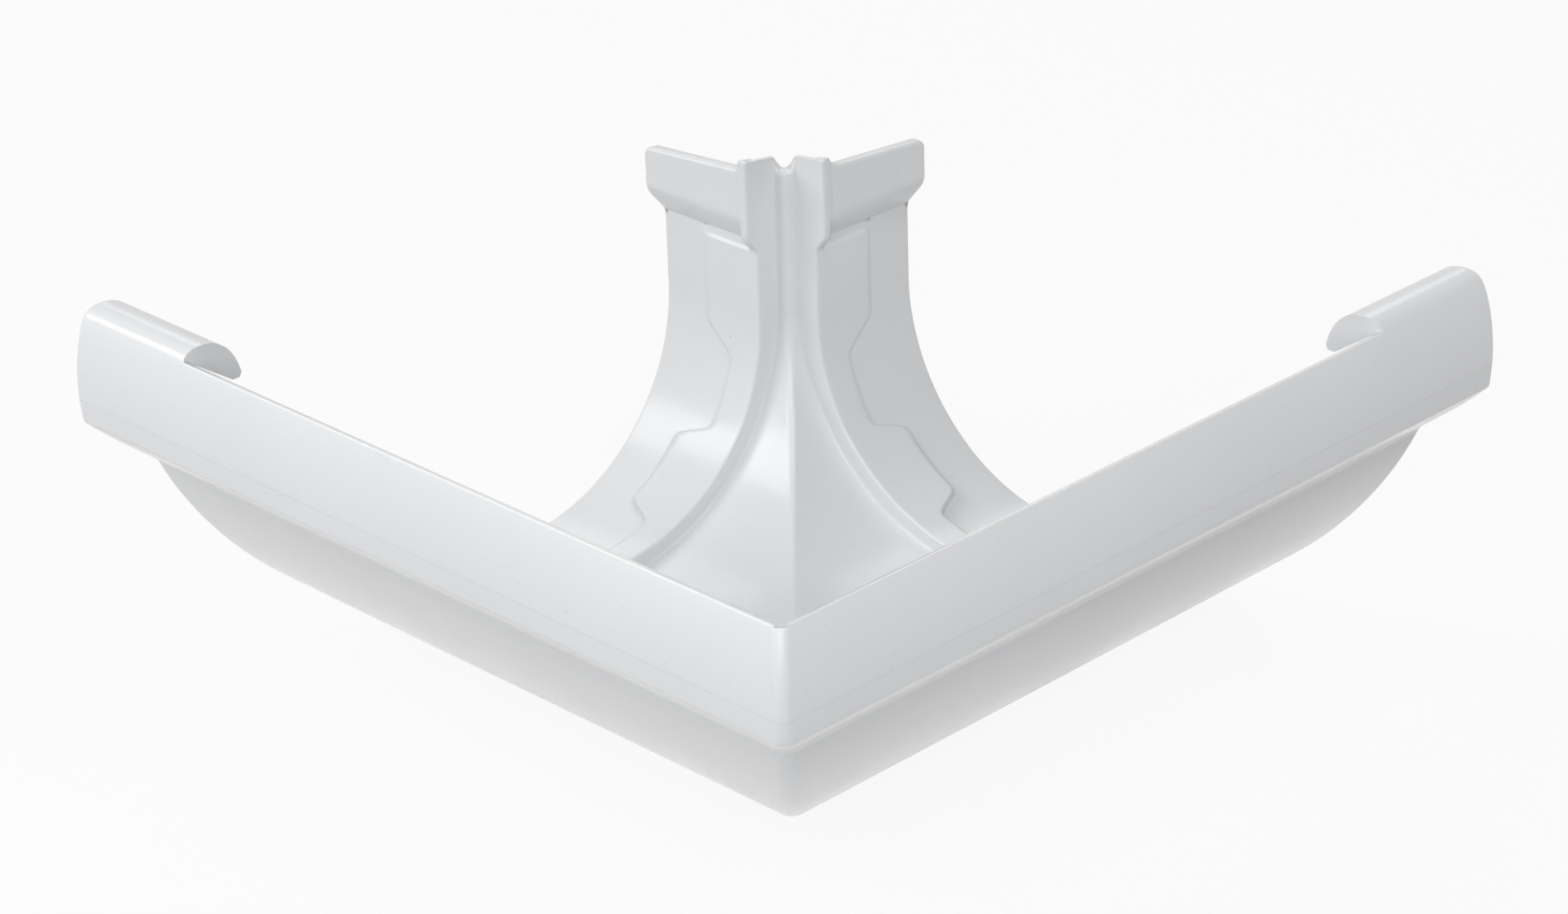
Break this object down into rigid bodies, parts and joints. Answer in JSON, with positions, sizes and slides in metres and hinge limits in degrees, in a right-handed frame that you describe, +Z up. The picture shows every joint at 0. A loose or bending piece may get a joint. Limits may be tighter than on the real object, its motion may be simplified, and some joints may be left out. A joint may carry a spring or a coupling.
{
  "type": "gutter external angle",
  "caption": "Moulded external corner for roof gutter: two short channel legs at a right angle, with rolled front lips, seating pads and retaining bands at the ends",
  "frame": {"origin": "on the underside, where the centre lines of the flat lands of the two legs cross", "axes": "one leg runs along +X and the other along +Y, both open upwards along +Z; the outer corner and the front faces look towards -X and -Y"},
  "size_m": [0.1422, 0.1422, 0.069],
  "materials": {
    "white_upvc": "gloss white moulded uPVC"
  },
  "bodies": {
    "root": {"external_angle": "white_upvc"}
  },
  "joints": []
}
